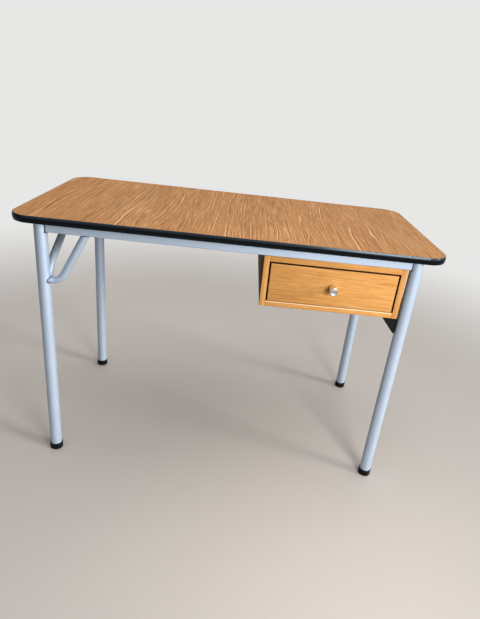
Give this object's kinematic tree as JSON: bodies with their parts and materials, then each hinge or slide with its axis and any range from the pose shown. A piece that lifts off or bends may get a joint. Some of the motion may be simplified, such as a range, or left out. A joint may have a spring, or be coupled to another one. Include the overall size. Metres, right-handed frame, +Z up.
{
  "type": "teachers desk",
  "caption": "Teacher's desk: a wood-grain worktop with black edging on a welded round-tube frame, and a drawer box with a sliding drawer hung under its right half.",
  "frame": {"origin": "on the floor, under the middle of the whole desk with its drawer shut", "axes": "+X to the right as seen from the front, the drawer's side; +Y to the back; +Z up"},
  "size_m": [1.1998, 0.6129, 0.78],
  "materials": {
    "top_laminate": "satin oak-grain laminate, grain from front to back",
    "chipboard": "raw chipboard",
    "backing": "plain brown backing laminate",
    "edging": "black edging with a soft sheen",
    "frame_paint": "satin light blue-grey paint",
    "foot_plastic": "black moulded caps",
    "box_board": "honey oak-grain melamine board",
    "hardboard": "smooth brown hardboard",
    "drawer_board": "pale wood-grain board",
    "dowel_wood": "plain beech pegs",
    "bracket_paint": "black satin paint",
    "knob_metal": "bright brushed metal",
    "zinc": "bright zinc plating",
    "runner_coat": "off-white coated steel sheet",
    "nylon": "off-white nylon"
  },
  "bodies": {
    "frame": {"top_core": "chipboard", "top_laminate": "top_laminate", "backing_laminate": "backing", "edge_moulding": "edging", "front_left_leg": "frame_paint", "front_right_leg": "frame_paint", "rear_left_leg": "frame_paint", "rear_right_leg": "frame_paint", "front_left_foot": "foot_plastic", "front_right_foot": "foot_plastic", "rear_left_foot": "foot_plastic", "rear_right_foot": "foot_plastic", "front_rail": "frame_paint", "rear_rail": "frame_paint", "left_rail": "frame_paint", "right_rail": "frame_paint", "front_left_brace": "frame_paint", "rear_left_brace": "frame_paint", "left_front_brace": "frame_paint", "left_rear_brace": "frame_paint", "right_front_brace": "frame_paint", "right_rear_brace": "frame_paint", "front_left_tab": "frame_paint", "front_right_tab": "frame_paint", "rear_left_tab": "frame_paint", "rear_right_tab": "frame_paint", "left_tab": "frame_paint", "right_tab": "frame_paint", "top_screws": "zinc", "carcass_left_side": "box_board", "carcass_right_side": "box_board", "carcass_top": "box_board", "carcass_bottom": "box_board", "carcass_back": "hardboard", "carcass_screws": "zinc", "hanging_screws": "zinc", "front_bracket": "bracket_paint", "rear_bracket": "bracket_paint", "bracket_screws": "zinc", "left_cabinet_runner": "runner_coat", "right_cabinet_runner": "runner_coat", "front_roller_pins": "zinc", "cabinet_runner_screws": "zinc"},
    "drawer": {"drawer_left_side": "drawer_board", "drawer_right_side": "drawer_board", "drawer_front": "box_board", "drawer_back": "drawer_board", "drawer_bottom": "hardboard", "drawer_dowels": "dowel_wood", "knob": "knob_metal", "knob_screw": "zinc", "left_drawer_runner": "runner_coat", "right_drawer_runner": "runner_coat", "rear_roller_pins": "zinc", "drawer_runner_screws": "zinc"},
    "left_front_wheel": {"left_front_roller": "nylon"},
    "right_front_wheel": {"right_front_roller": "nylon"},
    "left_rear_wheel": {"left_rear_roller": "nylon"},
    "right_rear_wheel": {"right_rear_roller": "nylon"}
  },
  "joints": [
    {"name": "drawer_slide", "type": "slide", "parent": "frame", "child": "drawer", "axis": [0, -1, 0], "range_m": [0, 0.35]},
    {"name": "left_front_spin", "type": "hinge", "parent": "frame", "child": "left_front_wheel", "pos_m": [0.1145, -0.2475, 0.6203], "axis": [1, 0, 0], "continuous": true},
    {"name": "right_front_spin", "type": "hinge", "parent": "frame", "child": "right_front_wheel", "pos_m": [0.4715, -0.2475, 0.6203], "axis": [1, 0, 0], "continuous": true},
    {"name": "left_rear_spin", "type": "hinge", "parent": "drawer", "child": "left_rear_wheel", "pos_m": [0.115, 0.1805, 0.6287], "axis": [1, 0, 0], "continuous": true},
    {"name": "right_rear_spin", "type": "hinge", "parent": "drawer", "child": "right_rear_wheel", "pos_m": [0.471, 0.1805, 0.6287], "axis": [1, 0, 0], "continuous": true}
  ],
  "couplings": [
    {"joint": "left_front_spin", "follows": "drawer_slide", "rad_per_m": 121.95},
    {"joint": "right_front_spin", "follows": "drawer_slide", "rad_per_m": 121.95},
    {"joint": "left_rear_spin", "follows": "drawer_slide", "rad_per_m": 121.95},
    {"joint": "right_rear_spin", "follows": "drawer_slide", "rad_per_m": 121.95}
  ]
}
